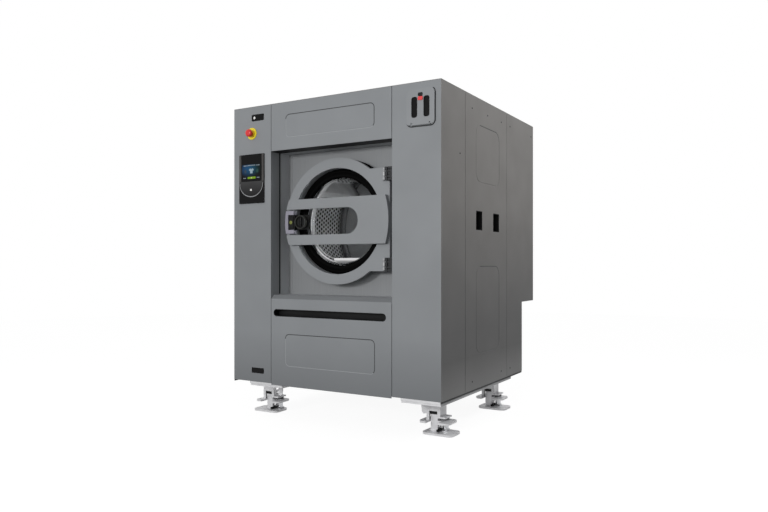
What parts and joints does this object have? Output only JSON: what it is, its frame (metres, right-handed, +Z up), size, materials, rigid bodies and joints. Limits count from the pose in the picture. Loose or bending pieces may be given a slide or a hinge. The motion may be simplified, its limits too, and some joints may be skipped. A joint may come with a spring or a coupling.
{
  "type": "washer-extractor",
  "caption": "Floor-standing cabinet washer-extractor with a recessed round door, handle band, suspended drum, touch panel and weighing feet.",
  "frame": {"origin": "floor level, under the middle of the machine's outline, emergency stop included", "axes": "+Z up, the front with the door faces -Y, +X to the right seen from the front"},
  "size_m": [1.388, 1.467, 1.84],
  "materials": {
    "cabinet_grey": "satin",
    "side_grey": "satin",
    "zinc_steel": "zinc plated",
    "stainless": "ground",
    "drum_steel": "polished",
    "dark_steel": "satin",
    "cast_iron": "cast",
    "motor_grey": "satin",
    "brass": "machined",
    "black_rubber": "moulded",
    "black_plastic": "moulded",
    "gloss_black": "polished",
    "yellow_plastic": "moulded",
    "red_plastic": "moulded",
    "pale_plastic": "moulded",
    "screen": "polished",
    "glass": "polished"
  },
  "bodies": {
    "root": {"chassis_frame": "zinc_steel", "foot_bases": "zinc_steel", "load_cells": "stainless", "foot_pads": "black_rubber", "foot_brackets": "zinc_steel", "cabinet_frame": "zinc_steel", "left_column": "cabinet_grey", "right_column": "cabinet_grey", "top_panel": "cabinet_grey", "lower_panel": "cabinet_grey", "slot_liner": "black_plastic", "recess_frame": "cabinet_grey", "front_plate": "cabinet_grey", "left_mid_panel": "side_grey", "right_mid_panel": "side_grey", "rear_side_panels": "side_grey", "roof_panel": "side_grey", "rear_lower_panel": "side_grey", "rear_upper_panel": "side_grey", "side_vents": "black_plastic", "panel_screws": "stainless", "estop_collar": "yellow_plastic", "control_bezel": "gloss_black", "screen_glass": "screen", "dispenser_hopper": "pale_plastic", "latch_keeper": "stainless", "hinge_brackets": "dark_steel", "tub_bellows": "black_rubber", "suspension_springs": "dark_steel", "damper_bodies": "dark_steel", "drain_valve": "black_plastic", "drain_hose": "black_rubber", "water_inlets": "brass", "electrical_box": "pale_plastic"},
    "door": {"door_frame": "cabinet_grey", "door_glass": "glass", "window_gasket": "black_rubber", "door_band": "cabinet_grey", "latch_housing": "black_plastic", "hinge_leaves": "stainless"},
    "latch_knob": {"latch_knob": "black_plastic"},
    "latch_bolt": {"latch_bolt": "stainless"},
    "tub": {"tub_shell": "stainless", "tub_cradle": "stainless", "tub_front": "stainless", "bearing_housing": "cast_iron", "shaft_bearings": "stainless", "drive_belts": "black_rubber", "motor_body": "motor_grey", "damper_rods": "stainless"},
    "drum": {"drum_shell": "drum_steel", "drum_lifters": "drum_steel", "drum_shaft": "stainless", "driven_pulley": "cast_iron"},
    "rotor": {"motor_rotor": "stainless"},
    "estop_plunger": {"estop_plunger": "black_plastic"},
    "estop_cap": {"estop_cap": "red_plastic"},
    "dispenser_lid": {"dispenser_lid": "cabinet_grey"},
    "lid_latch": {"lid_latch": "red_plastic"},
    "isolator_knob": {"isolator_knob": "red_plastic"}
  },
  "joints": [
    {"name": "door_swing", "type": "hinge", "parent": "root", "child": "door", "pos_m": [0.37, -0.6315, 1.149], "axis": [0, 0, 1], "range_deg": [0, 105]},
    {"name": "latch_turn", "type": "hinge", "parent": "door", "child": "latch_knob", "pos_m": [-0.227, -0.6515, 1.149], "axis": [0, 1, 0], "range_deg": [0, 90]},
    {"name": "latch_bolt_slide", "type": "slide", "parent": "door", "child": "latch_bolt", "axis": [1, 0, 0], "range_m": [0, 0.01]},
    {"name": "tub_bounce", "type": "slide", "parent": "root", "child": "tub", "axis": [0, 0, 1], "range_m": [-0.015, 0.015], "stiffness_N_per_m": 90000, "springref_m": 0.06671, "deforming": ["suspension_springs", "drain_hose", "tub_bellows"]},
    {"name": "drum_spin", "type": "hinge", "parent": "tub", "child": "drum", "pos_m": [0, 0, 1.149], "axis": [0, 1, 0], "continuous": true},
    {"name": "motor_spin", "type": "hinge", "parent": "tub", "child": "rotor", "pos_m": [0, 0, 0.435], "axis": [0, 1, 0], "continuous": true},
    {"name": "estop_press", "type": "slide", "parent": "root", "child": "estop_plunger", "axis": [0, 1, 0], "range_m": [0, 0.005]},
    {"name": "estop_twist", "type": "hinge", "parent": "estop_plunger", "child": "estop_cap", "pos_m": [-0.55, -0.7215, 1.68], "axis": [0, 1, 0], "range_deg": [0, 30], "stiffness_Nm_per_rad": 0.05},
    {"name": "lid_swing", "type": "hinge", "parent": "root", "child": "dispenser_lid", "pos_m": [0.578, -0.6957, 1.62], "axis": [1, 0, 0], "range_deg": [0, 75]},
    {"name": "lid_latch_slide", "type": "slide", "parent": "dispenser_lid", "child": "lid_latch", "axis": [0, 0, -1], "range_m": [0, 0.006], "stiffness_N_per_m": 300, "springref_m": -0.01},
    {"name": "isolator_turn", "type": "hinge", "parent": "root", "child": "isolator_knob", "pos_m": [-0.465, 0.5285, 0.53], "axis": [0, 1, 0], "range_deg": [0, 90]}
  ],
  "couplings": [
    {"joint": "latch_bolt_slide", "follows": "latch_turn", "m_per_rad": 0.00636},
    {"joint": "motor_spin", "follows": "drum_spin", "ratio": 4}
  ]
}
